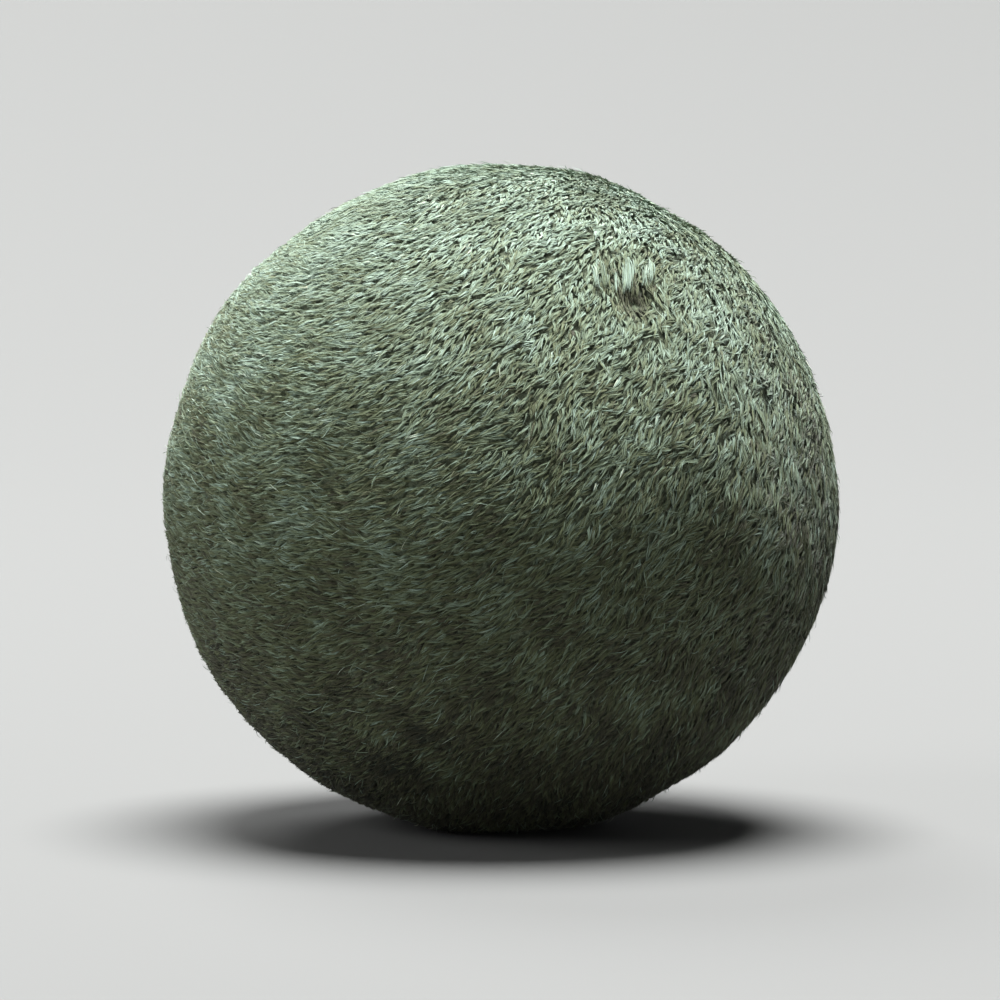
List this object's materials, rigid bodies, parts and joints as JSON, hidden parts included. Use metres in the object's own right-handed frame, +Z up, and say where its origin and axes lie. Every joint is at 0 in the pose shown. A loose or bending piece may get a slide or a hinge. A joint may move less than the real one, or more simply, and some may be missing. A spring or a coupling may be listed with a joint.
{
  "type": "marimo moss ball aquarium ornament",
  "caption": "Plush-covered imitation marimo moss ball for an aquarium, with a hollow lattice core and a small flat resting spot.",
  "frame": {"origin": "middle of the small flat spot that the ball rests on", "axes": "+Z up through the ball's middle; -Y is the front, towards the side where the tie of the cover shows; +X is to the right seen from the front"},
  "size_m": [0.0458, 0.0458, 0.0451],
  "materials": {
    "moss_pile": "short dense plush pile combed flat, matt sage green over olive brown",
    "core_plastic": "moulded dark grey, lightly grained"
  },
  "bodies": {
    "root": {"moss_cover": "moss_pile", "filter_core": "core_plastic"}
  },
  "joints": []
}
